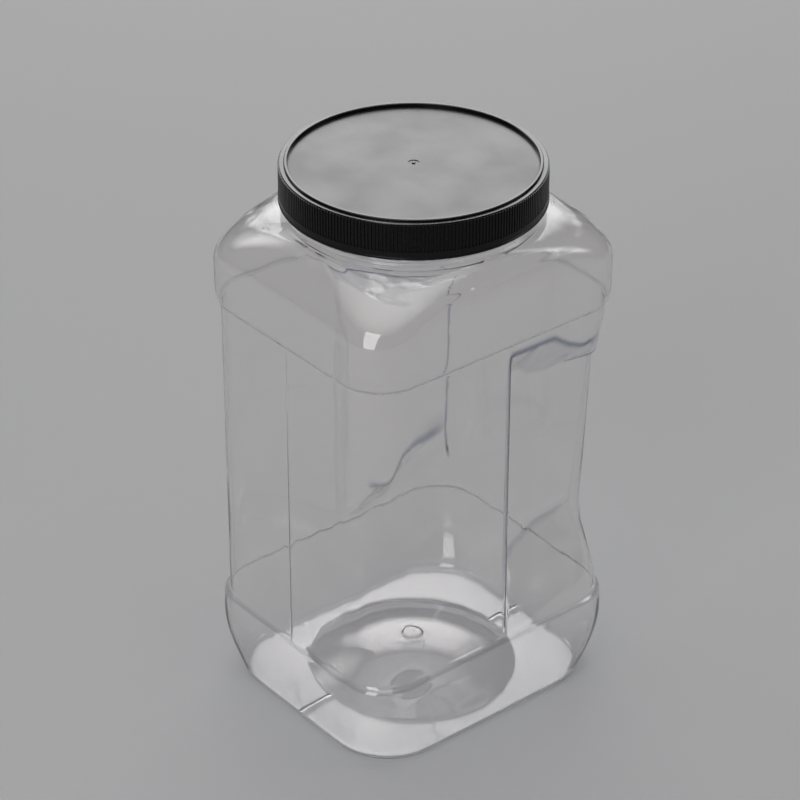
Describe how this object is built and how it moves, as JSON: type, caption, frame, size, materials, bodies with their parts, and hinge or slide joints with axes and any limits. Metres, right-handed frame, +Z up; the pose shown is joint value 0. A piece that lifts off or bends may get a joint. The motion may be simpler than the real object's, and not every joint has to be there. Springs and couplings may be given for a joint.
{
  "type": "plastic jar",
  "caption": "Tall clear rounded-rectangular plastic jar with finger grips moulded into its sides, a domed base and a ribbed black screw lid on a wide neck.",
  "frame": {"origin": "centre of the base, on the surface that the jar stands on", "axes": "+Z up along the neck's axis, +Y towards the handle, +X towards one of the two finger grips"},
  "size_m": [0.122, 0.142, 0.2586],
  "materials": {
    "clear_plastic": "clear, glossy",
    "black_plastic": "black with a fine grain on top and a satin skirt",
    "white_foam": "soft white foam"
  },
  "bodies": {
    "jar": {"jar_body": "clear_plastic"},
    "disc": {"liner": "white_foam"},
    "cap": {"lid": "black_plastic"}
  },
  "joints": [
    {"name": "lid_lift", "type": "slide", "parent": "jar", "child": "disc", "axis": [0, 0, 1], "range_m": [0, 0.0153]},
    {"name": "lid_turn", "type": "hinge", "parent": "disc", "child": "cap", "pos_m": [0, 0, 0.25], "axis": [0, 0, 1], "range_deg": [0, 1080]}
  ],
  "couplings": [
    {"joint": "lid_lift", "follows": "lid_turn", "m_per_rad": 0.00080851}
  ]
}
